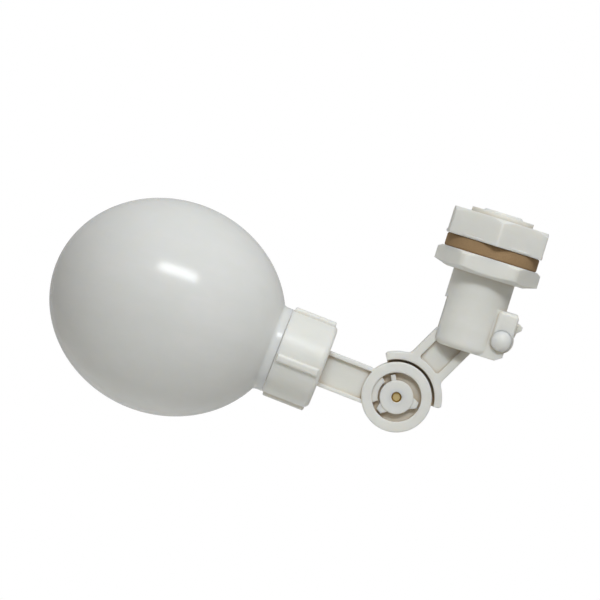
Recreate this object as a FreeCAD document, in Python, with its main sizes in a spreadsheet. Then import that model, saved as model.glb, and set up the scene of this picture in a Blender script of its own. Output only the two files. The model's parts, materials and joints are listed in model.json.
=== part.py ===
import FreeCAD, Part
import Sketcher
import math
import os
from FreeCAD import Placement, Rotation, Vector

# A small plastic float valve that hangs from a bulkhead. +Z is the inlet's axis, pointing up out of
# the tank; the origin is on that axis in the flange's seating face. The lever and the float swing in
# the XZ plane, with the float towards -X. The lever is drawn hanging open, on its stop.

SHEET = {
    # inlet spigot and its push-fit socket
    "spigot_radius": 8.33,
    "spigot_top": 11.7,
    "thread_pitch": 1.337,
    "thread_depth": 0.6,
    "mouth_radius": 5.9,
    "mouth_depth": 2.1,
    "socket_radius": 5.2,
    "socket_floor": 0.4,
    "tube_radius": 3.25,
    "tube_stop": 2.2,
    "orifice_radius": 1.0,
    # flange, gasket and lock nut
    "flange_flats": 25.0,
    "flange_thick": 5.0,
    "flange_corner": 3.0,
    "flange_bevel": 1.1,
    "gasket_radius": 12.5,
    "gasket_thick": 3.4,
    "nut_flats": 25.2,
    "nut_height": 7.1,
    "nut_face_radius": 13.05,
    "nut_face_thick": 0.9,
    "nut_bore": 8.45,
    # body barrel, chamber and ears
    "barrel_radius": 8.3,
    "barrel_end": 25.0,
    "chamber_radius": 5.7,
    "chamber_roof": 5.2,
    "nozzle_tip": 6.7,
    "slot_half": 3.3,
    "slot_top": 12.8,
    "ear_slot_top": 13.3,
    "ear_half": 6.2,
    "ear_top": 12.0,
    "ear_right": 11.2,
    "boss_front": 7.2,
    "boss_half": 2.75,
    # lever pivot
    "pivot_side": 8.9,
    "pivot_drop": 19.6,
    "pin_radius": 1.6,
    "pin_head": 2.8,
    "pivot_play": 0.06,
    # plunger
    "plunger_radius": 5.45,
    "plunger_top": 9.6,
    "plunger_end": 15.6,
    "seal_radius": 3.8,
    "seal_thick": 1.8,
    "seal_stand": 0.4,
    # lever
    "lever_lean": 28.0,
    "lever_offset": 8.6,
    "lever_reach": 29.6,
    "lever_half": 3.0,
    "lever_width": 10.9,
    "rail_width": 2.2,
    "web_half": 1.9,
    "cam_base": 5.0,
    "closing_turn": 28.0,
    "cam_gap": 0.05,
    "hub_radius": 3.4,
    # knuckle
    "eye_radius": 9.2,
    "eye_front": 3.4,
    "joint_gap": 0.3,
    "guard_inner": 9.85,
    "guard_outer": 11.9,
    "guard_front": 3.0,
    "guard_spread": 59.5,
    "recess_radius": 6.45,
    "recess_floor": 1.4,
    "stud_radius": 1.25,
    "stud_hole": 1.6,
    "hub_nut_radius": 4.4,
    "hub_nut_reach": 5.9,
    "insert_radius": 2.1,
    "knob_radius": 5.6,
    # ball arm, union nut and float
    "arm_tilt": 4.1,
    "arm_half": 4.8,
    "arm_rail": 1.0,
    "arm_flange_radius": 8.3,
    "arm_flange_start": 23.3,
    "arm_flange_end": 25.3,
    "union_washer_end": 26.5,
    "union_start": 20.5,
    "union_end": 33.3,
    "union_root": 11.4,
    "union_tip": 12.4,
    "rib_width": 2.1,
    "rib_angle": -96.0,
    "union_wall": 2.7,
    "union_bore": 9.35,
    "neck_radius": 8.6,
    "collar_radius": 11.4,
    "collar_start": 33.6,
    "float_centre": 64.1,
    "float_long": 31.2,
    "float_wide": 28.1,
    "float_wall": 1.2,
}


class Size:
    """A number together with the sheet formula that drives it."""

    def __init__(self, value, formula):
        self.value = value
        self.formula = formula

    def __add__(self, other):
        other = as_size(other)
        return Size(self.value + other.value, f"({self.formula} + {other.formula})")

    def __sub__(self, other):
        other = as_size(other)
        return Size(self.value - other.value, f"({self.formula} - {other.formula})")

    def __mul__(self, factor):
        factor = as_size(factor)
        return Size(self.value * factor.value, f"({self.formula} * {factor.formula})")

    def __truediv__(self, factor):
        factor = as_size(factor)
        return Size(self.value / factor.value, f"({self.formula} / {factor.formula})")

    def __neg__(self):
        return self * -1


def as_size(value):
    return value if isinstance(value, Size) else Size(float(value), f"({float(value):.6f})")


def cosine(angle):
    return Size(math.cos(math.radians(angle.value)), f"cos({angle.formula} * 1 deg)")


def sine(angle):
    return Size(math.sin(math.radians(angle.value)), f"sin({angle.formula} * 1 deg)")


def polar(radius, degrees, centre=(0, 0)):
    """A sketch point at radius and angle from centre."""
    angle = as_size(degrees)
    radius = as_size(radius)
    return (cosine(angle) * radius + centre[0], sine(angle) * radius + centre[1])


def around(point, degrees):
    """The point turned counter-clockwise about the sketch's origin."""
    angle = as_size(degrees)
    across = as_size(point[0])
    along = as_size(point[1])
    return (
        across * cosine(angle) - along * sine(angle),
        across * sine(angle) + along * cosine(angle),
    )


doc = FreeCAD.newDocument("float_valve")
sheet = doc.addObject("Spreadsheet::Sheet", "Sheet")
sizes = {}
for row, (alias, number) in enumerate(SHEET.items(), start=1):
    sheet.set(f"A{row}", alias)
    sheet.set(f"B{row}", str(number))
    sheet.setAlias(f"B{row}", alias)
    sizes[alias] = Size(number, f"Sheet.{alias}")
doc.recompute()


def size(alias):
    return sizes[alias]


def bind(thing, path, value):
    thing.setExpression(path, as_size(value).formula)


# ---------------------------------------------------------------- sketch and feature helpers


def new_body(name, placement=None):
    body = doc.addObject("PartDesign::Body", name)
    body.Label = name
    if placement:
        placement(body)
    return body


def origin_plane(body, role):
    return next(item for item in body.Origin.OriginFeatures if item.Role == role)


def new_sketch(body, plane, offset=0):
    """A sketch on one of the body's origin planes, moved along the plane's normal by offset."""
    sketch = body.newObject("Sketcher::SketchObject", f"{body.Name}_sketch")
    sketch.AttachmentSupport = [(origin_plane(body, plane), "")]
    sketch.MapMode = "FlatFace"
    offset = as_size(offset)
    sketch.AttachmentOffset = Placement(Vector(0, 0, offset.value), Rotation())
    bind(sketch, "AttachmentOffset.Base.z", offset)
    return sketch


def pin_down(sketch, curve, end, point):
    """Fix one end of a curve by formulas for its two coordinates."""
    for kind, axis, value in (("DistanceX", -2, point[0]), ("DistanceY", -1, point[1])):
        value = as_size(value)
        if abs(value.value) < 1e-9:
            sketch.addConstraint(Sketcher.Constraint("PointOnObject", curve, end, axis))
        else:
            fixed = Sketcher.Constraint(kind, -1, 1, curve, end, value.value)
            index = sketch.addConstraint(fixed)
            bind(sketch, f"Constraints[{index}]", value)


def arc_between(start, end, radius):
    """The shorter arc from start to end: anticlockwise when radius is positive."""
    span = end - start
    rise = math.sqrt(max(radius**2 - (span.Length / 2) ** 2, 0))
    left = Vector(-span.y, span.x, 0).normalize()
    centre = (start + end) / 2 + left * math.copysign(rise, radius)
    circle = Part.Circle(centre, Vector(0, 0, 1), abs(radius))
    first, last = (start, end) if radius > 0 else (end, start)
    begin = math.atan2(first.y - centre.y, first.x - centre.x)
    finish = math.atan2(last.y - centre.y, last.x - centre.x)
    return Part.ArcOfCircle(circle, begin, finish)


def draw_outline(sketch, points):
    """A closed outline. A third item in a point is the radius of the arc that leads to it."""
    corners = [Vector(as_size(p[0]).value, as_size(p[1]).value, 0) for p in points]
    ends = []
    for number, point in enumerate(points):
        start, end = corners[number - 1], corners[number]
        if len(point) == 2:
            curve = sketch.addGeometry(Part.LineSegment(start, end), False)
            ends.append((curve, 1, 2))
        else:
            radius = as_size(point[2])
            curve = sketch.addGeometry(arc_between(start, end, radius.value), False)
            ends.append((curve, 1, 2) if radius.value > 0 else (curve, 2, 1))
            fixed = Sketcher.Constraint("Radius", curve, abs(radius.value))
            index = sketch.addConstraint(fixed)
            bind(sketch, f"Constraints[{index}]", radius if radius.value > 0 else -radius)
    for number, point in enumerate(points):
        curve, _, finish = ends[number]
        following, begin, _ = ends[(number + 1) % len(points)]
        sketch.addConstraint(Sketcher.Constraint("Coincident", curve, finish, following, begin))
        pin_down(sketch, curve, finish, point)


def draw_circle(sketch, radius, centre=(0, 0)):
    radius = as_size(radius)
    middle = Vector(as_size(centre[0]).value, as_size(centre[1]).value, 0)
    curve = sketch.addGeometry(Part.Circle(middle, Vector(0, 0, 1), radius.value), False)
    index = sketch.addConstraint(Sketcher.Constraint("Radius", curve, radius.value))
    bind(sketch, f"Constraints[{index}]", radius)
    pin_down(sketch, curve, 3, centre)


def extrude(body, cut, plane, low, high, outline=None, circles=()):
    """Pad or pocket a sketch from low to high along +Z (XY_Plane) or along +Y (XZ_Plane)."""
    backwards = plane == "XZ_Plane"
    offset = -as_size(low) if backwards else as_size(low)
    sketch = new_sketch(body, plane, offset)
    if outline:
        draw_outline(sketch, outline)
    for radius, centre in circles:
        draw_circle(sketch, radius, centre)
    kind = "PartDesign::Pocket" if cut else "PartDesign::Pad"
    feature = body.newObject(kind, f"{body.Name}_{'cut' if cut else 'pad'}")
    feature.Profile = sketch
    feature.Reversed = backwards != cut
    depth = as_size(high) - low
    feature.Length = depth.value
    bind(feature, "Length", depth)
    doc.recompute()
    return feature


def revolve(body, cut, outline):
    """Turn an outline, drawn as (radius, height) points, about the body's Z axis."""
    sketch = new_sketch(body, "XZ_Plane")
    draw_outline(sketch, outline)
    kind = "PartDesign::Groove" if cut else "PartDesign::Revolution"
    feature = body.newObject(kind, f"{body.Name}_{'groove' if cut else 'turn'}")
    feature.Profile = sketch
    feature.ReferenceAxis = (sketch, ["V_Axis"])
    feature.Angle = 360
    doc.recompute()
    return feature


def hexagon(body, flats, low, high, turn=0):
    """A hexagonal prism across flats; turn is the angle of a corner from +X."""
    prism = body.newObject("PartDesign::AdditivePrism", f"{body.Name}_hexagon")
    prism.AttachmentSupport = [(origin_plane(body, "XY_Plane"), "")]
    prism.MapMode = "FlatFace"
    low = as_size(low)
    prism.AttachmentOffset = Placement(Vector(0, 0, low.value), Rotation(Vector(0, 0, 1), turn))
    bind(prism, "AttachmentOffset.Base.z", low)
    prism.Polygon = 6
    bind(prism, "Circumradius", flats / (2 * math.cos(math.radians(30))))
    bind(prism, "Height", as_size(high) - low)
    doc.recompute()
    return prism


def pattern_round(body, feature, count):
    pattern = body.newObject("PartDesign::PolarPattern", f"{body.Name}_round")
    pattern.Originals = [feature]
    pattern.Axis = (feature.Profile[0], ["N_Axis"])
    pattern.Angle = 360
    pattern.Occurrences = count
    body.Tip = pattern
    doc.recompute()
    return pattern


def pattern_along(body, feature, spacing, count):
    pattern = body.newObject("PartDesign::LinearPattern", f"{body.Name}_row")
    pattern.Originals = [feature]
    pattern.Direction = (feature.Profile[0], ["V_Axis"])
    pattern.Occurrences = count
    bind(pattern, "Length", spacing * (count - 1))
    body.Tip = pattern
    doc.recompute()
    return pattern


def round_edges(body, radius, wanted):
    """Fillet the edges of the body so far for which wanted(edge) is true."""
    base = body.Tip
    names = [f"Edge{i}" for i, edge in enumerate(base.Shape.Edges, start=1) if wanted(edge)]
    fillet = body.newObject("PartDesign::Fillet", f"{body.Name}_round")
    fillet.Base = (base, names)
    fillet.Radius = radius
    doc.recompute()
    return fillet


def middle_of(edge):
    return edge.valueAt((edge.FirstParameter + edge.LastParameter) / 2)


def lies_at_x(edge, *places):
    """True when the middle of the edge is at one of these distances left or right of the origin."""
    return any(abs(abs(middle_of(edge).x) - as_size(place).value) < 0.01 for place in places)


def is_line_along(edge, axis):
    if edge.Curve.TypeId != "Part::GeomLine":
        return False
    way = edge.tangentAt(edge.FirstParameter)
    return abs(way.dot(axis)) > 0.999


def lies_at_y(edge, depth):
    """True when both ends of the edge are at this depth."""
    return all(abs(corner.Point.y - depth.value) < 0.01 for corner in edge.Vertexes)


def is_outside(edge, radius):
    """True when the middle of the edge is farther than this from the body's Z axis."""
    middle = middle_of(edge)
    return math.hypot(middle.x, middle.y) > radius


def is_circle_at(edge, radius, axis, height):
    """True for an arc of this radius whose centre is at this height along the axis."""
    if edge.Curve.TypeId != "Part::GeomCircle" or abs(edge.Curve.Radius - radius) > 0.01:
        return False
    return abs(edge.Curve.Center.dot(axis) - height) < 0.01


# ---------------------------------------------------------------- where each group sits

ACROSS = Vector(0, 1, 0)
UP = Vector(0, 0, 1)


def on_pivot(body):
    """The lever's own frame: origin on the pivot, -Z along the lever."""
    body.Placement = Placement(Vector(), Rotation(ACROSS, SHEET["lever_lean"]))
    bind(body, "Placement.Base.x", size("pivot_side"))
    bind(body, "Placement.Base.z", -size("pivot_drop"))
    bind(body, "Placement.Rotation.Angle", size("lever_lean"))


lean = size("lever_lean")
offset, reach = size("lever_offset"), size("lever_reach")
knuckle_x = size("pivot_side") - offset * cosine(lean) - reach * sine(lean)
knuckle_z = offset * sine(lean) - reach * cosine(lean) - size("pivot_drop")


def on_knuckle(body):
    """Upright frame with its origin on the knuckle's axis."""
    body.Placement = Placement(Vector(knuckle_x.value, 0, knuckle_z.value), Rotation())
    bind(body, "Placement.Base.x", knuckle_x)
    bind(body, "Placement.Base.z", knuckle_z)


def along_arm(body):
    """The ball arm's frame: origin on the knuckle's axis, +Z along the arm, +X upwards."""
    on_knuckle(body)
    down = Vector(0, -1, 0)
    body.Placement = Placement(body.Placement.Base, Rotation(down, 90 - SHEET["arm_tilt"]))
    bind(body, "Placement.Rotation.Angle", -size("arm_tilt") + 90)


# ---------------------------------------------------------------- valve body and its fixed pieces


def ring(name, inner, outer, low, high, placement=None):
    """A plain washer turned about its body's Z axis."""
    body = new_body(name, placement)
    revolve(body, False, [(inner, low), (outer, low), (outer, high), (inner, high)])
    return body


def bevel_cone(body, flats, height, down, bevel, inner=None):
    """Cut one end of a hexagon back to a cone: its corners, or everything outside the inner radius."""
    corner = flats / (2 * math.cos(math.radians(30)))
    inner = inner or flats / 2 + 0.35
    slant = bevel * (-1.4 if down else 1.4)
    outline = [(inner, height), (corner + 1, as_size(height) - slant), (corner + 1, height)]
    revolve(body, True, outline)


def make_valve_body():
    body = new_body("valve_body")
    hexagon(body, size("flange_flats"), -size("flange_thick"), 0)
    round_edges(body, SHEET["flange_corner"], lambda edge: is_line_along(edge, UP))
    bevel_cone(body, size("flange_flats"), 0, False, size("flange_bevel"))
    spigot, barrel = size("spigot_radius"), size("barrel_radius")
    low = -size("flange_thick")
    bevel_cone(body, size("flange_flats"), low, True, size("flange_bevel"), barrel + 2.1)
    top, end = size("spigot_top"), -size("barrel_end")
    profile = [(0, end), (barrel, end), (barrel, -1), (spigot, -1), (spigot, top), (0, top)]
    revolve(body, False, profile)
    make_ears(body)
    hollow_body(body)
    cut_slot(body)
    thread = revolve(body, True, thread_groove(spigot, top - 1.4, -1))
    pattern_along(body, thread, size("thread_pitch"), 5)
    return body


def thread_groove(surface, first, way):
    """One V ring of a thread. It is cut into the surface just below the height first."""
    pitch, depth = size("thread_pitch"), size("thread_depth")
    middle = as_size(first) - pitch * 4 - pitch / 2
    return [
        (surface + depth * way, middle),
        (surface - depth * way * 0.3, middle + pitch * 0.45),
        (surface - depth * way * 0.3, middle - pitch * 0.45),
    ]


def make_ears(body):
    """Two ears on the +X side carry the lever's pin; the front one has a boss."""
    side, drop, half = size("pivot_side"), size("pivot_drop"), size("ear_half")
    end = size("barrel_end")
    right = size("ear_right")
    outline = [
        (2, -end),
        (right - 2.6, -end),
        (right - 0.7, -end + 1.3),
        (right - 0.7, -end + 2.8),
        (right, -end + 4.2),
        (right, -size("ear_top")),
        (2, -size("ear_top")),
    ]
    extrude(body, False, "XZ_Plane", -half, half, outline)
    wide, front = size("boss_half"), size("boss_front")
    capsule = [
        (side - wide, -drop),
        (side, -drop - wide, wide),
        (side + wide, -drop, wide),
        (side + wide, -size("ear_top") - 1.2),
        (side + wide - 1.2, -size("ear_top"), 1.2),
        (side - wide + 1.2, -size("ear_top")),
        (side - wide, -size("ear_top") - 1.2, 1.2),
    ]
    extrude(body, False, "XZ_Plane", -front, -half + 0.6, capsule)
    round_edges(body, 0.9, lambda edge: lies_at_y(edge, -front) and middle_of(edge).x > 0)
    radius, height = SHEET["barrel_radius"], -SHEET["barrel_end"]
    round_edges(body, 1.8, lambda edge: is_circle_at(edge, radius, UP, height))


def hollow_body(body):
    """The way through: tube socket, orifice, nozzle and the plunger's chamber."""
    tube, socket, mouth = size("tube_radius"), size("socket_radius"), size("mouth_radius")
    bottom, roof, chamber = -size("barrel_end") - 1, -size("chamber_roof"), size("chamber_radius")
    shoulder = size("spigot_top") - size("mouth_depth")
    outline = [
        (0, bottom),
        (chamber, bottom),
        (chamber, roof),
        (2.6, roof),
        (1.7, -size("nozzle_tip")),
        (size("orifice_radius"), -size("nozzle_tip")),
        (size("orifice_radius"), -size("tube_stop")),
        (tube, -size("tube_stop")),
        (tube, size("socket_floor")),
        (socket, size("socket_floor")),
        (socket, shoulder),
        (mouth, shoulder),
        (mouth, size("spigot_top") + 1),
        (0, size("spigot_top") + 1),
    ]
    revolve(body, True, outline)


def cut_slot(body):
    """The lever's slot, right through from the -X side to between the ears, and the pin's hole."""
    half, bottom = size("slot_half"), -size("barrel_end") - 2
    left, right = -size("barrel_radius") - 2, size("ear_right") + 3
    step = size("pivot_side") - 1.7
    outline = [
        (left, bottom),
        (right, bottom),
        (right, -size("ear_slot_top")),
        (step, -size("ear_slot_top")),
        (step, -size("slot_top")),
        (left, -size("slot_top")),
    ]
    extrude(body, True, "XZ_Plane", -half, half, outline)
    pivot = (size("pivot_side"), -size("pivot_drop"))
    extrude(body, True, "XZ_Plane", -12, 12, circles=[(size("pin_radius"), pivot)])
    top_corner = -size("ear_top") - 1
    round_edges(
        body,
        0.9,
        lambda edge: is_line_along(edge, ACROSS)
        and lies_at_x(edge, size("ear_right"))
        and middle_of(edge).z < top_corner.value,
    )


def make_lock_nut():
    body = new_body("lock_nut")
    low = size("gasket_thick") + 0.03
    high = low + size("nut_height")
    hexagon(body, size("nut_flats"), low, high, turn=30)
    bevel_cone(body, size("nut_flats"), high, False, size("flange_bevel"))
    face = size("nut_face_radius")
    edge = low + size("nut_face_thick")
    revolve(body, False, [(5, low), (face - 0.3, low), (face, low + 0.3), (face, edge), (5, edge)])
    bore = size("nut_bore")
    revolve(body, True, [(0, low - 1), (bore, low - 1), (bore, high + 1), (0, high + 1)])
    corner_radius = SHEET["nut_flats"] / 2 + 0.4
    round_edges(
        body,
        0.8,
        lambda edge: is_line_along(edge, UP) and edge.Length > 4 and is_outside(edge, corner_radius),
    )
    return body


def make_o_ring(name, radius, section, height):
    body = new_body(name)
    sketch = new_sketch(body, "XZ_Plane")
    draw_circle(sketch, section, (radius, height))
    turn = body.newObject("PartDesign::Revolution", f"{name}_turn")
    turn.Profile = sketch
    turn.ReferenceAxis = (sketch, ["V_Axis"])
    turn.Angle = 360
    doc.recompute()
    return body


def make_inlet_pieces():
    """Push-fit socket: O-ring, backup ring, retainer and the sliding collet with its grip ring."""
    tube, socket, floor = size("tube_radius"), size("socket_radius"), size("socket_floor")
    section = (socket - tube) / 2
    seal = make_o_ring("inlet_o_ring", (socket + tube) / 2, section, floor + section)
    backup_low = floor + section * 2
    backup_high = backup_low + 1.2
    backup = ring("inlet_backup_ring", tube + 0.15, socket, backup_low, backup_high)
    shoulder = size("spigot_top") - size("mouth_depth")
    retainer = new_body("inlet_retainer")
    revolve(
        retainer,
        False,
        [
            (4.95, backup_high),
            (socket, backup_high),
            (socket, shoulder),
            (4.35, shoulder),
            (4.35, shoulder - 2.6),
            (4.95, shoulder - 4.4),
        ],
    )
    return [seal, backup, retainer] + make_collet(tube, shoulder)


def make_collet(tube, shoulder):
    tip = shoulder - 4.9
    flange_low, flange_high = shoulder + 1.0, size("spigot_top") + 0.55
    collet = new_body("inlet_collet")
    revolve(
        collet,
        False,
        [
            (tube, tip),
            (4.3, tip),
            (4.75, tip + 0.8),
            (4.15, shoulder - 2.7),
            (4.15, flange_low),
            (5.4, flange_low),
            (5.4, flange_high - 0.5),
            (4.9, flange_high),
            (tube + 0.4, flange_high),
            (tube, flange_high - 0.4),
        ],
    )
    ring_low, ring_high = tip + 0.5, tip + 0.8
    revolve(collet, True, [(1, ring_low), (3.85, ring_low), (3.85, ring_high), (1, ring_high)])
    slit = [(-6, -0.35), (6, -0.35), (6, 0.35), (-6, 0.35)]
    cut = extrude(collet, True, "XY_Plane", tip - 0.5, shoulder - 1.2, slit)
    pattern_round(collet, cut, 4)
    grip = ring("collet_grip_ring", tube + 0.02, 3.85, ring_low, ring_high)
    return [collet, grip]


def make_plunger():
    """Fluted plunger with a rubber pad on top that closes the nozzle."""
    radius, top, end = size("plunger_radius"), -size("plunger_top"), -size("plunger_end")
    pad, thick, stand = size("seal_radius"), size("seal_thick"), size("seal_stand")
    pad_low = top + stand - thick
    plunger = new_body("plunger")
    revolve(
        plunger,
        False,
        [
            (0, end),
            (radius - 0.5, end),
            (radius, end + 0.5),
            (radius, top - 0.4),
            (radius - 0.4, top),
            (pad, top),
            (pad, pad_low),
            (0, pad_low),
        ],
    )
    flute = extrude(plunger, True, "XY_Plane", end - 1, top + 1, circles=[(1.5, (0, radius))])
    pattern_round(plunger, flute, 4)
    seal = new_body("plunger_seal")
    face = top + stand
    profile = [(0, pad_low), (pad, pad_low), (pad, face - 0.15), (pad - 0.15, face), (0, face)]
    revolve(seal, False, profile)
    return [plunger, seal]


def across_pivot(body):
    """Frame for pieces turned about the pivot: +Z of the piece points to the back, +Y."""
    body.Placement = Placement(Vector(), Rotation(Vector(-1, 0, 0), 90))
    bind(body, "Placement.Base.x", size("pivot_side"))
    bind(body, "Placement.Base.z", -size("pivot_drop"))


def across_knuckle(body):
    """Frame for pieces turned about the knuckle: +Z of the piece points to the back, +Y."""
    body.Placement = Placement(Vector(), Rotation(Vector(-1, 0, 0), 90))
    bind(body, "Placement.Base.x", knuckle_x)
    bind(body, "Placement.Base.z", knuckle_z)


def make_pivot_pin():
    """Headed pin through both ears, held at the back by a push-on ring."""
    shaft, head, front = size("pin_radius"), size("pin_head"), -size("boss_front")
    back = size("ear_half")
    pin = new_body("pivot_pin", across_pivot)
    revolve(
        pin,
        False,
        [
            (0, back + 1.7),
            (0, front - 1.5),
            (head, front, 3.4),
            (shaft, front),
            (shaft, back + 1.3),
            (shaft - 0.4, back + 1.7),
        ],
    )
    clip = new_body("pivot_clip", across_pivot)
    revolve(
        clip,
        False,
        [(shaft, back), (head, back), (head, back + 0.6), (head - 0.3, back + 0.9), (shaft, back + 0.9)],
    )
    return [pin, clip]


# ---------------------------------------------------------------- lever


def cam_point(turn):
    """A point of the cam's involute, in the lever's frame, for a lever closed by turn degrees."""
    base = size("cam_base")
    rest_height = size("pivot_drop") - size("plunger_end") - size("cam_gap")
    height = rest_height + base * (turn / 180 * math.pi)
    return around((-base, height), lean + turn)


def make_lever():
    offset, reach, half = size("lever_offset"), size("lever_reach"), size("lever_half")
    wide = size("lever_width") / 2
    left, right = -offset - wide, -offset + wide
    body = new_body("lever_arm", on_pivot)
    closing = size("closing_turn")
    cam_end = cam_point(closing)
    # the straight top of the head lies just under the plunger when the lever is closed
    slope = lean + closing
    drop = (cam_end[0] - left) * sine(slope) / cosine(slope)
    rest_height = size("pivot_drop") - size("plunger_end")
    cam_radius = rest_height + size("cam_base") * (closing.value / 2 / 180 * math.pi)
    outline = [
        (left, -reach),
        (right, -reach),
        (right, 0),
        (right + 1.2, 2.2),
        cam_point(as_size(0)),
        (*cam_end, cam_radius),
        (left, cam_end[1] - drop),
    ]
    extrude(body, False, "XZ_Plane", -half, half, outline)
    lighten_lever(body, left, right, reach)
    add_guard(body, offset, reach)
    extrude(body, False, "XZ_Plane", -half, half, circles=[(size("hub_radius"), (0, 0))])
    tooth = [(-1.2, 2), (2.0, 3.0), (1.6, 4.2), (2.1, 5.6), (1.7, 6.5), (0.4, 6.5), (-0.7, 4.8)]
    extrude(body, False, "XZ_Plane", -half + 0.6, half - 0.6, tooth)
    bore = size("pin_radius") + size("pivot_play")
    extrude(body, True, "XZ_Plane", -half - 1, half + 1, circles=[(bore, (0, 0))])
    round_lever(body, left, right, reach)
    return body


def round_lever(body, left, right, reach):
    """Flare the rails into the crescent and round its tips and the corners of the recesses."""
    outer, rail = SHEET["guard_outer"], size("rail_width")
    centre = Vector(-SHEET["lever_offset"], 0, -SHEET["lever_reach"])

    def is_on_crescent(edge):
        middle = middle_of(edge)
        distance = math.hypot(middle.x - centre.x, middle.z - centre.z)
        return is_line_along(edge, ACROSS) and abs(distance - outer) < 0.02

    def is_in_recess(edge):
        return is_line_along(edge, ACROSS) and lies_at_x(edge, -left - rail, -right + rail)

    round_edges(body, 1.8, lambda edge: is_on_crescent(edge) and lies_at_x(edge, -left, -right))
    lowest = min(middle_of(edge).z for edge in body.Tip.Shape.Edges if is_on_crescent(edge)) + 0.1
    round_edges(body, 0.8, lambda edge: is_on_crescent(edge) and middle_of(edge).z < lowest)
    round_edges(body, 0.8, is_in_recess)
    inner, front = SHEET["guard_inner"], -SHEET["guard_front"]
    round_edges(body, 0.35, lambda edge: is_circle_at(edge, inner, ACROSS, front))


def lighten_lever(body, left, right, reach):
    """Recess both sides, leaving two rails and a web."""
    rail, web, half = size("rail_width"), size("web_half"), size("lever_half")
    recess = [
        (left + rail, -reach + 8),
        (right - rail, -reach + 8),
        (right - rail, -6.5),
        (left + rail, -12.0),
    ]
    extrude(body, True, "XZ_Plane", -half - 1, -web, recess)
    extrude(body, True, "XZ_Plane", web, half + 1, recess)


def add_guard(body, offset, reach):
    """The crescent round the knuckle, and the lever's own disc behind the ball arm's eye."""
    half, front, gap = size("lever_half"), size("guard_front"), size("joint_gap") / 2
    inner, outer, spread = size("guard_inner"), size("guard_outer"), size("guard_spread")
    centre = (-offset, -reach)
    eye = size("eye_radius")
    low = polar(inner - 0.8, as_size(90) + spread, centre)
    outline = [
        polar(outer, as_size(90) - spread, centre),
        (*polar(outer, 90, centre), outer),
        (*polar(outer, as_size(90) + spread, centre), outer),
        low,
        (*polar(inner - 0.8, 90, centre), -(inner - 0.8)),
        (*polar(inner - 0.8, as_size(90) - spread, centre), -(inner - 0.8)),
    ]
    extrude(body, False, "XZ_Plane", -front, half, outline)
    extrude(body, False, "XZ_Plane", gap, half, circles=[(eye, centre)])
    extrude(body, True, "XZ_Plane", -front - 1, gap, circles=[(inner, centre)])
    extrude(body, True, "XZ_Plane", -1, half + 1, circles=[(size("stud_hole"), centre)])


# ---------------------------------------------------------------- knuckle fastener


def make_knuckle_nut():
    """Three-legged nut that drops into the ball arm's eye."""
    floor, front = size("recess_floor") + 0.02, size("eye_front") - 0.25
    body = new_body("knuckle_nut", on_knuckle)
    hub, reach = size("hub_nut_radius"), size("hub_nut_reach")
    extrude(body, False, "XZ_Plane", -front, -floor, circles=[(hub, (0, 0))])
    finger = [(3, -0.65), (reach, -0.65), (reach, 0.65), (3, 0.65)]
    wing = [(1.5, -2.9), (reach, -0.9), (reach, 0.7), (1.5, 2.6)]
    for degrees, leg in ((116, finger), (236, wing), (-4, wing)):
        outline = [around(point, degrees) for point in leg]
        extrude(body, False, "XZ_Plane", -front + 0.2, -floor, outline)
    extrude(body, True, "XZ_Plane", -front - 1, -floor + 1, circles=[(size("stud_radius") + 0.1, (0, 0))])
    extrude(body, True, "XZ_Plane", -front + 0.5, -floor + 1, circles=[(size("insert_radius"), (0, 0))])
    insert = ring(
        "knuckle_insert",
        size("stud_radius") + 0.05,
        size("insert_radius"),
        -front + 0.5,
        -floor,
        across_knuckle,
    )
    return [body, insert]


def make_thumb_screw():
    """Brass stud moulded into a fluted thumb knob behind the lever, with a steel washer."""
    back = size("lever_half")
    washer = ring("knuckle_washer", size("stud_hole"), 4.2, back, back + 0.6, across_knuckle)
    low = back + 0.65
    high = low + 5.2
    stud_radius, knob_radius = size("stud_radius"), size("knob_radius")
    knob = new_body("knuckle_knob", across_knuckle)
    revolve(
        knob,
        False,
        [
            (0, low),
            (3.6, low),
            (3.6, low + 0.8),
            (knob_radius - 0.6, low + 0.8),
            (knob_radius, low + 1.4),
            (knob_radius, high - 0.7),
            (knob_radius - 0.7, high),
            (0, high),
        ],
    )
    flute = extrude(knob, True, "XY_Plane", low + 0.3, high + 1, circles=[(1.5, (0, knob_radius + 0.7))])
    pattern_round(knob, flute, 8)
    extrude(knob, True, "XY_Plane", low - 1, low + 3.4, circles=[(stud_radius, (0, 0))])
    stud = new_body("knuckle_stud", across_knuckle)
    tip, root = -size("eye_front") + 1.1, low + 3.4
    chamfer = [(stud_radius - 0.3, tip), (stud_radius, tip + 0.3)]
    revolve(stud, False, [(0, tip)] + chamfer + [(stud_radius, root), (0, root)])
    return [washer, knob, stud]


# ---------------------------------------------------------------- ball arm, union nut and float


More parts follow.
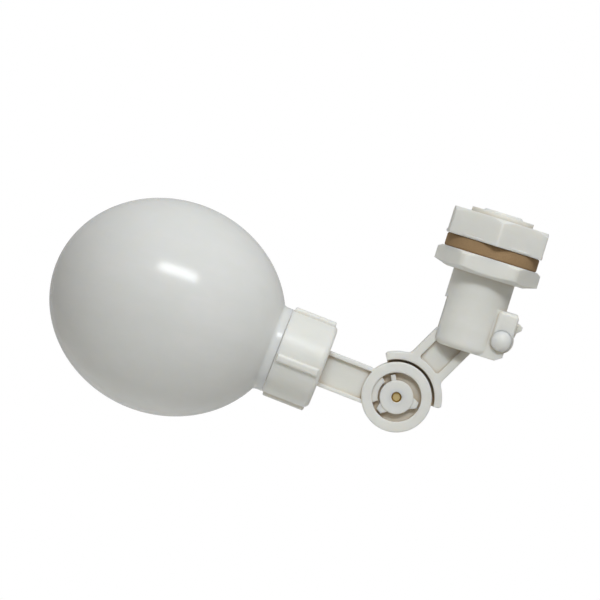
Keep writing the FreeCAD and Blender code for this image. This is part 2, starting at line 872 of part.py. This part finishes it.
def make_ball_arm():
    """Eye, channelled arm and end flange. In this frame +Z runs along the arm and +X is its top."""
    body = new_body("ball_arm", along_arm)
    half, rail, deep = size("arm_half"), size("arm_rail"), size("lever_half")
    gap, front, eye = size("joint_gap") / 2, size("eye_front"), size("eye_radius")
    flange_low, flange_high = size("arm_flange_start"), size("arm_flange_end")
    shaft = [(-half, 3), (half, 3), (half, flange_low + 0.5), (-half, flange_low + 0.5)]
    extrude(body, False, "XZ_Plane", -deep, deep, shaft)
    inner = half - rail
    recess = [(-inner, 5), (inner, 5), (inner, flange_low - 1), (-inner, flange_low - 1)]
    web = size("web_half")
    extrude(body, True, "XZ_Plane", -deep - 1, -web, recess)
    extrude(body, True, "XZ_Plane", web, deep + 1, recess)
    round_edges(body, 0.8, lambda edge: is_line_along(edge, ACROSS) and lies_at_x(edge, inner))
    extrude(body, True, "XZ_Plane", -gap, deep + 1, circles=[(size("guard_inner"), (0, 0))])
    extrude(body, False, "XZ_Plane", -front, -gap, circles=[(eye, (0, 0))])
    round_edges(body, 0.3, lambda edge: is_circle_at(edge, eye.value, ACROSS, -front.value))
    recess_radius, floor = size("recess_radius"), size("recess_floor")
    extrude(body, True, "XZ_Plane", -front - 1, -floor, circles=[(recess_radius, (0, 0))])
    plateau = [(*polar(4.9, 58), -4.9), polar(7.2, 56), polar(7.6, 90), polar(7.2, 124), polar(4.9, 122)]
    extrude(body, False, "XZ_Plane", -front + 0.7, -floor + 0.3, plateau)
    extrude(body, True, "XZ_Plane", -front - 1, 0, circles=[(size("stud_hole"), (0, 0))])
    radius = size("arm_flange_radius")
    revolve(body, False, [(0, flange_low), (radius, flange_low), (radius, flange_high), (0, flange_high)])
    round_edges(
        body,
        0.25,
        lambda edge: is_circle_at(edge, SHEET["recess_radius"], ACROSS, -SHEET["eye_front"])
        or is_circle_at(edge, SHEET["arm_flange_radius"], UP, SHEET["arm_flange_start"]),
    )
    return body


def make_union_nut():
    """Grip nut with four ribs; it pulls the float's neck onto the arm's flange."""
    low, high, wall = size("union_start"), size("union_end"), size("union_wall")
    root, tip, bore = size("union_root"), size("union_tip"), size("union_bore")
    soft = 1.5
    body = new_body("union_nut", along_arm)
    revolve(
        body,
        False,
        [
            (6.2, low),
            (root - soft, low),
            (root, low + soft, soft),
            (root, high - 0.15),
            (root - 0.15, high),
            (bore, high),
            (bore, low + wall),
            (6.2, low + wall),
        ],
    )
    # the front rib lies just below the front, and the others follow at quarter turns
    half = size("rib_width") / 2
    corners = ((root - 1, -half), (tip, -half), (tip, half), (root - 1, half))
    rib = [around(point, size("rib_angle")) for point in corners]
    pad = extrude(body, False, "XY_Plane", low + 0.9, high - 0.5, rib)
    pattern_round(body, pad, 4)
    round_edges(body, 0.6, lambda edge: is_outside(edge, tip.value - 0.05))
    return body


def primitive(kind, name, height, lengths):
    """A primitive on the part's own Z axis, its origin at this height."""
    thing = doc.addObject(kind, name)
    for prop, value in lengths.items():
        bind(thing, prop, value)
    bind(thing, "Placement.Base.z", height)
    return thing


def cylinder(name, radius, low, high):
    return primitive("Part::Cylinder", name, low, {"Radius": radius, "Height": high - low})


def ellipsoid(name, centre, along, across):
    lengths = {"Radius1": along, "Radius2": across, "Radius3": across}
    return primitive("Part::Ellipsoid", name, centre, lengths)


def make_float():
    """Hollow blow-moulded ball with a closed, threaded neck."""
    centre, wall = size("float_centre"), size("float_wall")
    long_half, wide_half = size("float_long"), size("float_wide")
    collar, start = size("collar_radius"), size("collar_start")
    neck, tip = size("neck_radius"), size("union_washer_end")
    skin = ellipsoid("float_skin", centre, long_half, wide_half)
    neck_rod = cylinder("float_neck", neck, tip, centre - 10)
    collar_disc = cylinder("float_collar", collar, start, start + 4.5)
    outside = doc.addObject("Part::MultiFuse", "float_outside")
    outside.Shapes = [skin, neck_rod, collar_disc]
    hollow = ellipsoid("float_hollow", centre, long_half - wall, wide_half - wall)
    neck_bore = cylinder("float_bore", neck - 1.9, tip + 1.5, centre - 10)
    inside = doc.addObject("Part::MultiFuse", "float_inside")
    inside.Shapes = [hollow, neck_bore]
    ball = doc.addObject("Part::Cut", "float_ball")
    ball.Label = "float_ball"
    ball.Base = outside
    ball.Tool = inside
    along_arm(ball)
    doc.recompute()
    return ball


# ---------------------------------------------------------------- the assembly

pieces = [make_valve_body()]
pieces.append(ring("flange_gasket", 8.4, size("gasket_radius"), 0, size("gasket_thick")))
pieces.append(make_lock_nut())
pieces += make_inlet_pieces()
pieces += make_plunger()
pieces += make_pivot_pin()
pieces.append(make_lever())
pieces += make_knuckle_nut()
pieces += make_thumb_screw()
pieces.append(make_ball_arm())
pieces.append(make_union_nut())
washer_low, washer_high = size("arm_flange_end"), size("union_washer_end")
pieces.append(ring("union_washer", 3, size("arm_flange_radius"), washer_low, washer_high, along_arm))
pieces.append(make_float())
doc.recompute()

failed = [item.Name for item in doc.Objects if {"Invalid", "Error"} & set(item.State)]
if failed:
    raise RuntimeError(f"features failed: {failed}")
for piece in pieces:
    if piece.Shape.isNull() or not piece.Shape.isValid():
        raise RuntimeError(f"{piece.Label} has no valid shape")

os.makedirs("parts", exist_ok=True)
for piece in pieces:
    piece.Shape.exportStep(f"parts/{piece.Label}.step")
    print(f"{piece.Label}: {piece.Shape.Volume:.1f} mm3, {len(piece.Shape.Solids)} solid")
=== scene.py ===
import json
import math

import bmesh
import bpy
from mathutils import Matrix, Vector


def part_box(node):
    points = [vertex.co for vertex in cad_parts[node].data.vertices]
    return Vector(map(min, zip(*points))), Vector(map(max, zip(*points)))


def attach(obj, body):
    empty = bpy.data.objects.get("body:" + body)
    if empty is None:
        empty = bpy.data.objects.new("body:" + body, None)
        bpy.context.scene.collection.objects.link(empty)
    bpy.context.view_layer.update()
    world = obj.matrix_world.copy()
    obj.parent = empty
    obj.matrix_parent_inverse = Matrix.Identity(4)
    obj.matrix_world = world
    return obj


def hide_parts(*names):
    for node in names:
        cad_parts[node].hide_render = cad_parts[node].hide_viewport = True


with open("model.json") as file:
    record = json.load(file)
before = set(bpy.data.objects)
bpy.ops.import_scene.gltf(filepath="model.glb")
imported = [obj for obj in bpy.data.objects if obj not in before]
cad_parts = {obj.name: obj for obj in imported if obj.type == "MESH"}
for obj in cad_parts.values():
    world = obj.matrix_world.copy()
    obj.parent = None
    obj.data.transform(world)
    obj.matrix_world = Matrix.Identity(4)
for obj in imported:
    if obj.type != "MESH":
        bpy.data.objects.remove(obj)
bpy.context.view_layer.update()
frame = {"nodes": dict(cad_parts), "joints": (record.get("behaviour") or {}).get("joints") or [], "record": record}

# A small white plastic float valve. Metres, in the CAD frame: +Z is the inlet's axis, the float is
# towards -X, and the picture is taken along +Y.

MM = 0.001
SCENE = bpy.context.scene
NODES = frame["nodes"]
JOINTS = {joint["name"]: joint for joint in frame["joints"]}
KNUCKLE = Vector(JOINTS["union_nut_turn"]["pos_m"])
ARM = Vector(JOINTS["union_nut_turn"]["axis"]).normalized()


# ---------------------------------------------------------------- meshes


def turned(name, profile, steps, closed=True):
    """A mesh turned about +Z from (radius, height) points; a radius of 0 closes it at the axis."""
    mesh = bmesh.new()
    rings = []
    for radius, height in profile:
        if radius < 1e-9:
            rings.append([mesh.verts.new((0, 0, height))])
            continue
        angles = [2 * math.pi * i / steps for i in range(steps)]
        circle = [(radius * math.cos(a), radius * math.sin(a), height) for a in angles]
        rings.append([mesh.verts.new(point) for point in circle])
    pairs = list(zip(rings, rings[1:]))
    if closed:
        pairs.append((rings[-1], rings[0]))
    for low, high in pairs:
        for i in range(steps):
            j = (i + 1) % steps
            if len(low) == 1:
                mesh.faces.new((low[0], high[j], high[i]))
            elif len(high) == 1:
                mesh.faces.new((low[i], low[j], high[0]))
            else:
                mesh.faces.new((low[i], low[j], high[j], high[i]))
    bmesh.ops.recalc_face_normals(mesh, faces=mesh.faces[:])
    data = bpy.data.meshes.new(name)
    mesh.to_mesh(data)
    mesh.free()
    data.polygons.foreach_set("use_smooth", [True] * len(data.polygons))
    piece = bpy.data.objects.new(name, data)
    SCENE.collection.objects.link(piece)
    return piece


def rounded(points, steps=6):
    """A closed outline of (radius, height, corner radius) points with its corners rounded."""
    result = []
    count = len(points)
    for i, (x, y, r) in enumerate(points):
        here = Vector((x, y))
        if r <= 0:
            result.append((x, y))
            continue
        before = Vector(points[i - 1][:2]) - here
        after = Vector(points[(i + 1) % count][:2]) - here
        half = before.angle(after) / 2
        reach = r / math.tan(half)
        centre = here + (before.normalized() + after.normalized()).normalized() * (r / math.sin(half))
        start = here + before.normalized() * reach - centre
        end = here + after.normalized() * reach - centre
        turn = start.angle_signed(end)
        for k in range(steps + 1):
            spoke = start.copy()
            spoke.rotate(Matrix.Rotation(-turn * k / steps, 2))
            result.append(tuple(centre + spoke))
    return result


def along_arm(piece):
    """Places a piece drawn about +Z on the ball arm, with its origin on the knuckle's axis."""
    across = Vector((0, 1, 0))
    turn = Matrix((across.cross(ARM), across, ARM)).transposed()
    piece.data.transform(Matrix.Translation(KNUCKLE) @ turn.to_4x4())


# ---------------------------------------------------------------- materials


class Nodes:
    """Short calls for building a material's node tree."""

    def __init__(self, name):
        self.material = bpy.data.materials.new(name)
        self.material.use_nodes = True
        self.tree = self.material.node_tree
        self.shader = self.tree.nodes["Principled BSDF"]
        self.place = self.add("ShaderNodeTexCoord").outputs["Object"]

    def add(self, kind, **settings):
        node = self.tree.nodes.new(kind)
        for key, value in settings.items():
            setattr(node, key, value)
        return node

    def feed(self, socket, value):
        if isinstance(value, bpy.types.NodeSocket):
            self.tree.links.new(value, socket)
        else:
            socket.default_value = value

    def noise(self, scale, detail=2.0, rough=0.5, place=None, distortion=0.0):
        node = self.add("ShaderNodeTexNoise")
        self.feed(node.inputs["Vector"], place or self.place)
        node.inputs["Scale"].default_value = scale
        node.inputs["Detail"].default_value = detail
        node.inputs["Roughness"].default_value = rough
        node.inputs["Distortion"].default_value = distortion
        return node.outputs["Fac"]

    def spread(self, value, low, high, out_low=0.0, out_high=1.0):
        node = self.add("ShaderNodeMapRange")
        self.feed(node.inputs["Value"], value)
        limits = {"From Min": low, "From Max": high, "To Min": out_low, "To Max": out_high}
        for key, number in limits.items():
            node.inputs[key].default_value = number
        return node.outputs["Result"]

    def blend(self, share, first, second):
        node = self.add("ShaderNodeMix", data_type="RGBA")
        self.feed(node.inputs["Factor"], share)
        self.feed(node.inputs["A"], first)
        self.feed(node.inputs["B"], second)
        return node.outputs["Result"]

    def combine(self, first, second, operation):
        node = self.add("ShaderNodeMath", operation=operation)
        self.feed(node.inputs[0], first)
        self.feed(node.inputs[1], second)
        return node.outputs["Value"]

    def stretched(self, factors):
        node = self.add("ShaderNodeMapping")
        self.feed(node.inputs["Vector"], self.place)
        node.inputs["Scale"].default_value = factors
        return node.outputs["Vector"]

    def bump(self, height, distance, strength=1.0, normal=None):
        node = self.add("ShaderNodeBump")
        self.feed(node.inputs["Height"], height)
        node.inputs["Distance"].default_value = distance
        node.inputs["Strength"].default_value = strength
        if normal:
            self.feed(node.inputs["Normal"], normal)
        return node.outputs["Normal"]

    def set(self, **sockets):
        for key, value in sockets.items():
            self.feed(self.shader.inputs[key.replace("_", " ")], value)


def colour(red, green, blue):
    """sRGB 0-255 to the linear colour that a shader takes."""
    def linear(value):
        value /= 255
        return value / 12.92 if value <= 0.04045 else ((value + 0.055) / 1.055) ** 2.4
    return (linear(red), linear(green), linear(blue), 1.0)


# how far the ambient occlusion looks for the hollows that get painted shade
PAINTED_SHADE_REACH = 5 * MM
SOAK_DEPTH = 2 * MM


def moulded(name, light, dark, painted_shade, edge_radius, gloss, grain, waves):
    """Injection-moulded plastic that lets a little light through.

    It has soft edges, faint flow clouds, a fine skin, and painted shade: a darker, warmer colour painted into its
    hollows and between parts, where shade falls.
    """
    n = Nodes(name)
    soft_edge = n.add("ShaderNodeBevel", samples=6)
    soft_edge.inputs["Radius"].default_value = edge_radius
    clouds = n.noise(scale=90, detail=4, rough=0.6, distortion=0.6)
    streaks = n.noise(scale=60, detail=3, rough=0.6, place=n.stretched((1.0, 1.0, 4.0)))
    mottle = n.combine(n.spread(clouds, 0.3, 0.7), n.spread(streaks, 0.3, 0.7), "MULTIPLY")
    # painted shade: where the ambient occlusion finds hollows, the base colour is blended towards a darker, warmer
    # colour
    painted_shade_openness = n.add("ShaderNodeAmbientOcclusion", samples=8)
    painted_shade_openness.inputs["Distance"].default_value = PAINTED_SHADE_REACH
    skin_colour = n.blend(mottle, dark, light)
    base = n.blend(n.spread(painted_shade_openness.outputs["AO"], 0.15, 0.7), painted_shade, skin_colour)
    scuffs = n.noise(scale=900, detail=2, rough=0.7)
    smears = n.noise(scale=140, detail=3, rough=0.55, distortion=1.5)
    rough = n.combine(n.spread(scuffs, 0.3, 0.7, 0.0, 0.5), n.spread(smears, 0.3, 0.7, 0.0, 0.5), "ADD")
    n.set(
        Base_Color=base,
        Roughness=n.spread(rough, 0.0, 1.0, *gloss),
        Subsurface_Weight=0.7,
        Subsurface_Radius=(1.0, 0.9, 0.75),
        Subsurface_Scale=SOAK_DEPTH,
        IOR=1.49,
    )
    fine = n.noise(scale=1800, detail=3, rough=0.6)
    skin = n.bump(fine, grain, normal=soft_edge.outputs["Normal"])
    ripples = n.noise(scale=160, detail=1, rough=0.4)
    n.set(Normal=n.bump(ripples, waves, normal=skin))
    return n.material


def rubber(name, light, dark):
    """Matte rubber with a crumbly, clouded skin."""
    n = Nodes(name)
    soft_edge = n.add("ShaderNodeBevel", samples=6)
    soft_edge.inputs["Radius"].default_value = 0.25 * MM
    crumbs = n.noise(scale=2600, detail=4, rough=0.7)
    clouds = n.noise(scale=150, detail=3, rough=0.6)
    mottle = n.combine(n.spread(crumbs, 0.3, 0.7), clouds, "MULTIPLY")
    n.set(
        Base_Color=n.blend(mottle, dark, light),
        Roughness=n.spread(crumbs, 0.3, 0.7, 0.75, 0.95),
        Normal=n.bump(crumbs, 0.03 * MM, normal=soft_edge.outputs["Normal"]),
    )
    return n.material


def metal(name, light, dark, gloss):
    """Machined metal with fine tool lines."""
    n = Nodes(name)
    lines = n.noise(scale=1500, detail=2, rough=0.6, place=n.stretched((1.0, 6.0, 1.0)))
    tarnish = n.noise(scale=300, detail=3, rough=0.6)
    n.set(
        Base_Color=n.blend(tarnish, dark, light),
        Metallic=1.0,
        Roughness=n.spread(lines, 0.3, 0.7, *gloss),
        Normal=n.bump(lines, 0.01 * MM),
    )
    return n.material


WHITE = moulded(
    "white_moulding",
    light=colour(240, 240, 236),
    dark=colour(233, 233, 227),
    # the painted shade colour for the hollows
    painted_shade=colour(200, 182, 154),
    edge_radius=0.5 * MM,
    gloss=(0.3, 0.45),
    grain=0.006 * MM,
    waves=0.02 * MM,
)
BALL_WHITE = moulded(
    "white_float",
    light=colour(233, 233, 231),
    dark=colour(228, 229, 226),
    # the painted shade colour for the hollows
    painted_shade=colour(222, 218, 206),
    edge_radius=0.4 * MM,
    gloss=(0.15, 0.22),
    grain=0.003 * MM,
    waves=0.006 * MM,
)
TAN = rubber("tan_gasket", colour(184, 154, 116), colour(156, 127, 92))
BLACK = rubber("black_rubber", colour(38, 37, 36), colour(24, 24, 24))
BRASS = metal("brass", colour(232, 214, 160), colour(208, 184, 126), (0.4, 0.6))
STEEL = metal("stainless", colour(196, 196, 192), colour(168, 168, 166), (0.2, 0.4))
FINISHES = {
    "moulded_white": WHITE,
    "float_white": BALL_WHITE,
    "gasket_tan": TAN,
    "seal_rubber": BLACK,
    "brass": BRASS,
    "steel": STEEL,
}


def finish_cad_nodes():
    """Gives every CAD piece the material that the record names for it."""
    for part in frame["record"]["subparts"]:
        node = NODES[part["node"]]
        node.data.materials.clear()
        node.data.materials.append(FINISHES[part["material_slot"]])


# ---------------------------------------------------------------- float


FLOAT_CENTRE = 64.1 * MM
FLOAT_LONG = 31.2 * MM
FLOAT_WIDE = 28.1 * MM
NECK_TIP = 26.5 * MM
NECK_RADIUS = 8.6 * MM
NECK_WALL = 1.9 * MM
NECK_END = 1.5 * MM
COLLAR_START = 33.34 * MM
COLLAR_RADIUS = 11.4 * MM
COLLAR_LIP = 0.06 * MM
COLLAR_FLARE = 0.25 * MM
COLLAR_FILLET = 1.6 * MM


def float_profile():
    """The outside, from the middle of the closed neck's tip over the ball to its far pole."""
    inner, rim, break_edge = NECK_RADIUS - NECK_WALL, 0.3 * MM, 0.2 * MM
    points = [(0, NECK_TIP + NECK_END), (inner, NECK_TIP + NECK_END)]
    points += [(inner, NECK_TIP + break_edge), (inner + break_edge, NECK_TIP)]
    points += [(NECK_RADIUS - rim, NECK_TIP), (NECK_RADIUS, NECK_TIP + rim)]
    points += [(NECK_RADIUS, COLLAR_START)]
    lip = COLLAR_LIP
    for k in range(7):
        a = -math.pi / 2 + math.pi / 2 * k / 6
        across = COLLAR_RADIUS - lip + lip * math.cos(a)
        points.append((across, COLLAR_START + lip + lip * math.sin(a)))
    # a fillet carries the collar into the ball
    steps = 120
    start = math.pi - math.asin((COLLAR_RADIUS + COLLAR_FLARE) / FLOAT_WIDE)
    joint = FLOAT_CENTRE + FLOAT_LONG * math.cos(start)
    points.append((COLLAR_RADIUS, joint - COLLAR_FILLET))
    for k in range(1, 6):
        share = k / 6
        points.append((COLLAR_RADIUS + COLLAR_FLARE * share**3, joint - COLLAR_FILLET * (1 - share)))
    for k in range(steps + 1):
        a = start * (1 - k / steps)
        points.append((FLOAT_WIDE * math.sin(a), FLOAT_CENTRE + FLOAT_LONG * math.cos(a)))
    points[-1] = (0, points[-1][1])
    return points


def make_float():
    """The float's outside, in place of the CAD's, with its collar blended into the ball."""
    ball = turned("float_shell", float_profile(), 256, closed=False)
    along_arm(ball)
    ball.data.materials.append(BALL_WHITE)
    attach(ball, "ball_arm")
    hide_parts("float_ball")


# ---------------------------------------------------------------- gasket


GASKET_BORE = 8.4 * MM
GASKET_EDGE = 0.45 * MM
GASKET_BORE_EDGE = 0.1 * MM


def make_gasket():
    """The gasket with the rounded rim of soft rubber."""
    low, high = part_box("flange_gasket")
    outer = high.x
    corners = [
        (GASKET_BORE, low.z, GASKET_BORE_EDGE),
        (outer, low.z, GASKET_EDGE),
        (outer, high.z, GASKET_EDGE),
        (GASKET_BORE, high.z, GASKET_BORE_EDGE),
    ]
    gasket = turned("flange_gasket_rubber", rounded(corners), 192)
    gasket.data.materials.append(TAN)
    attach(gasket, "valve")
    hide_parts("flange_gasket")


# ---------------------------------------------------------------- stage, light and camera

PICTURE_UP = Vector((-0.297, 0.0, 0.955)).normalized()
PICTURE_RIGHT = Vector((0.955, 0.0, 0.297)).normalized()
TO_CAMERA = Vector((0, -1, 0))
TARGET = Vector((-44.07 * MM, 0, -25.07 * MM))
CAMERA_DISTANCE = 1.0
CAMERA_RAISE = math.radians(1.5)
LAMP_DISTANCE = 0.8
ROOM_LIGHT = 0.18
ROOM_IN_REFLECTIONS = 0.45
ROOM_SEEN = 1.0
FLOOR_RADIUS = 0.32
FLOOR_HEIGHT = -0.2


def in_picture(right, up, near):
    """A direction given the way the picture sees it."""
    return (PICTURE_RIGHT * right + PICTURE_UP * up + TO_CAMERA * near).normalized()


def facing(direction, up):
    """A rotation whose local Z points along direction, for a camera or a lamp."""
    side = up.cross(direction).normalized()
    return Matrix((side, direction.cross(side), direction)).transposed()


def add_camera():
    """A long lens, raised a little so that it looks slightly down the inlet's axis."""
    data = bpy.data.cameras.new("camera")
    data.lens = 230
    data.sensor_width = 36
    data.clip_start = 0.01
    data.clip_end = 10
    camera = bpy.data.objects.new("camera", data)
    raised = TO_CAMERA * math.cos(CAMERA_RAISE) + Vector((0, 0, 1)) * math.sin(CAMERA_RAISE)
    turn = facing(raised, PICTURE_UP).to_4x4()
    camera.matrix_world = Matrix.Translation(TARGET + raised * CAMERA_DISTANCE) @ turn
    SCENE.collection.objects.link(camera)
    SCENE.camera = camera


def add_softbox(name, direction, width, height, power, tilt=0.0, lights=True, reflects=False):
    """A rectangular lamp facing the valve, which gives light, shows in reflections, or both."""
    data = bpy.data.lights.new(name, "AREA")
    data.shape = "RECTANGLE"
    data.size = width
    data.size_y = height
    data.energy = power
    data.color = (0.94, 0.97, 1.0)
    lamp = bpy.data.objects.new(name, data)
    turn = facing(direction, PICTURE_UP).to_4x4() @ Matrix.Rotation(tilt, 4, "Z")
    lamp.matrix_world = Matrix.Translation(TARGET + direction * LAMP_DISTANCE) @ turn
    lamp.visible_diffuse = lights
    lamp.visible_glossy = reflects
    SCENE.collection.objects.link(lamp)


def add_lamps():
    """The key gives the shading and the shadows; the glint is only a long window's reflection."""
    key_tilt, glint_tilt = math.radians(-20), math.radians(-22)
    add_softbox("key", in_picture(0.185, 0.57, 0.8), 0.4, 0.12, 3.35, key_tilt)
    glint = in_picture(0.18, 0.634, 0.755)
    add_softbox("glint", glint, 0.46, 0.14, 2.5, glint_tilt, lights=False, reflects=True)
    add_softbox("side", in_picture(0.47, 0.81, 0.34), 0.6, 0.6, 2.2)
    add_softbox("back", in_picture(-0.3, 0.5, -0.8), 0.6, 0.6, 2.0)


def add_world():
    """A dim warm room for the light, brighter for reflections and plain white behind the valve."""
    world = bpy.data.worlds.new("studio")
    world.use_nodes = True
    SCENE.world = world
    tree = world.node_tree
    shader = tree.nodes["Background"]
    shader.inputs["Color"].default_value = (1.0, 0.93, 0.82, 1.0)
    shader.inputs["Strength"].default_value = ROOM_LIGHT
    result = shader.outputs["Background"]
    path = tree.nodes.new("ShaderNodeLightPath")
    for rays, strength in (("Is Glossy Ray", ROOM_IN_REFLECTIONS), ("Is Camera Ray", ROOM_SEEN)):
        seen = tree.nodes.new("ShaderNodeBackground")
        seen.inputs["Color"].default_value = (1.0, 1.0, 1.0, 1.0)
        seen.inputs["Strength"].default_value = strength
        mix = tree.nodes.new("ShaderNodeMixShader")
        tree.links.new(path.outputs[rays], mix.inputs["Fac"])
        tree.links.new(result, mix.inputs[1])
        tree.links.new(seen.outputs["Background"], mix.inputs[2])
        result = mix.outputs["Shader"]
    tree.links.new(result, tree.nodes["World Output"].inputs["Surface"])


def add_floor():
    """A plain pale disc under the valve."""
    data = bpy.data.meshes.new("floor")
    mesh = bmesh.new()
    bmesh.ops.create_circle(mesh, cap_ends=True, segments=96, radius=FLOOR_RADIUS)
    mesh.to_mesh(data)
    mesh.free()
    floor = bpy.data.objects.new("floor", data)
    floor.location = (TARGET.x, 0, FLOOR_HEIGHT)
    SCENE.collection.objects.link(floor)
    n = Nodes("pale_floor")
    n.set(Base_Color=colour(240, 240, 238), Roughness=0.8)
    data.materials.append(n.material)


finish_cad_nodes()
make_float()
make_gasket()
add_floor()
add_world()
add_lamps()
add_camera()
SCENE.view_settings.view_transform = "Standard"
